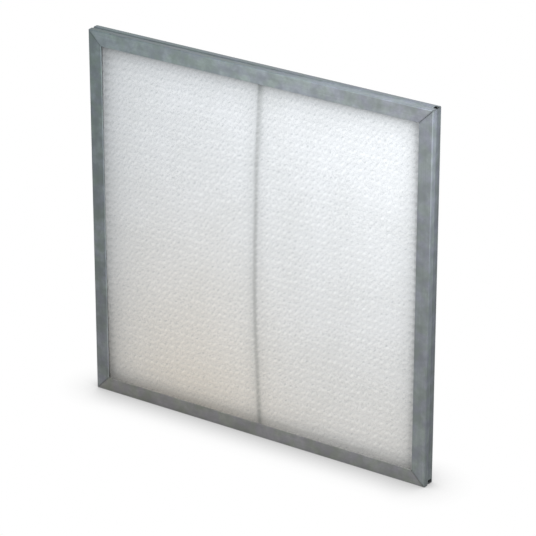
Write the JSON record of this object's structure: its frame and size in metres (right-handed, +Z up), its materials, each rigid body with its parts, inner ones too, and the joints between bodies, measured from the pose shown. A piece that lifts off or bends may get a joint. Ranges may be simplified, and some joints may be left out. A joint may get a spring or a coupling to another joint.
{
  "type": "electrostatic air filter",
  "caption": "Square flat-panel air filter: mitred sheet-metal channel frame round a bowed pack of white woven mesh, with a thin support rod behind the front mesh.",
  "frame": {"origin": "centre of the bottom edge's outline, on the surface that the panel stands on", "axes": "+Z up, +X to the right seen from the front, +Y through the panel from front to back"},
  "size_m": [0.4952, 0.019, 0.4953],
  "materials": {
    "galvanised_steel": "dull zinc coating, faint mottling",
    "key_steel": "plain zinc-plated strip",
    "rod_steel": "drawn wire",
    "woven_mesh": "white woven plastic, rows of small slanted cells",
    "fine_screen": "fine white plastic weave",
    "fibre_pad": "lofted white fibre"
  },
  "bodies": {
    "root": {"bottom_rail": "galvanised_steel", "right_stile": "galvanised_steel", "top_rail": "galvanised_steel", "left_stile": "galvanised_steel", "corner_key_bottom_left": "key_steel", "corner_key_bottom_right": "key_steel", "corner_key_top_right": "key_steel", "corner_key_top_left": "key_steel", "front_mesh": "woven_mesh", "front_screen": "fine_screen", "loft_pad": "fibre_pad", "back_screen": "fine_screen", "back_mesh": "woven_mesh", "center_rod": "rod_steel"}
  },
  "joints": []
}
